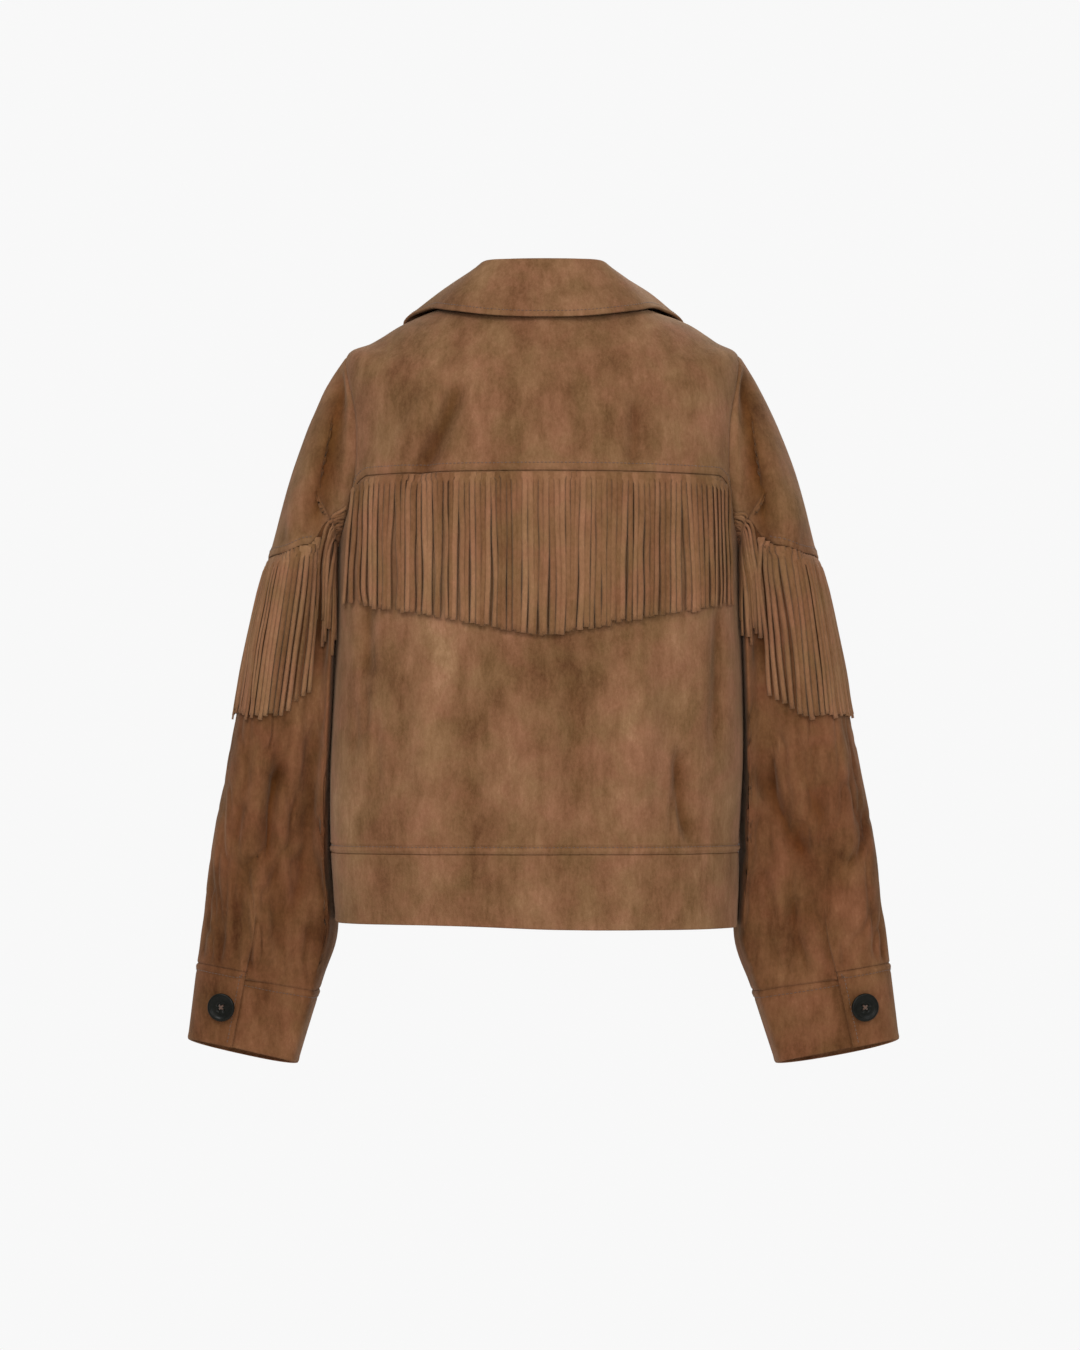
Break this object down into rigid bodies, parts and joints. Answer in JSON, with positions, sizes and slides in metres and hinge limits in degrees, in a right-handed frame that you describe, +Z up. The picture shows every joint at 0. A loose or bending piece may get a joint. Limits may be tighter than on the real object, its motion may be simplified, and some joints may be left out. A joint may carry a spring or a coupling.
{
  "type": "cropped jacket",
  "caption": "Cropped suede jacket with a turned-down collar, fringe under the back yoke and round the sleeves, buttoned cuffs and a waistband.",
  "frame": {"origin": "middle of the neck opening, level with the tops of the shoulders, where the wearer's neck and shoulders hold the jacket up", "axes": "+Z up, from the hem to the collar; the back of the jacket faces -Y and its button front +Y; the wearer's right sleeve is on +X"},
  "size_m": [0.6558, 0.2537, 0.7409],
  "materials": {
    "body_suede": "tan-brown faux suede with a short brushed nap, mottled light and dark, matt",
    "sleeve_suede": "the same faux suede, brushed darker on the lower sleeves and cuffs",
    "fringe_suede": "the same faux suede cut into narrow strips",
    "button": "near-black horn-like plastic, polished, with a raised rim"
  },
  "bodies": {
    "root": {"back_yoke": "body_suede", "back_panel": "body_suede", "back_fringe": "fringe_suede", "waistband_back": "body_suede", "front_right": "body_suede", "waistband_front_right": "body_suede", "front_left": "body_suede", "waistband_front_left": "body_suede", "front_placket": "body_suede", "front_button_1": "button", "front_button_2": "button", "front_button_3": "button", "front_button_4": "button", "front_button_5": "button", "collar_stand": "body_suede", "collar_fall": "body_suede", "sleeve_yoke_right": "body_suede", "sleeve_lower_right": "sleeve_suede", "sleeve_fringe_right": "fringe_suede", "cuff_right": "sleeve_suede", "cuff_button_right": "button", "sleeve_yoke_left": "body_suede", "sleeve_lower_left": "sleeve_suede", "sleeve_fringe_left": "fringe_suede", "cuff_left": "sleeve_suede", "cuff_button_left": "button"}
  },
  "joints": []
}
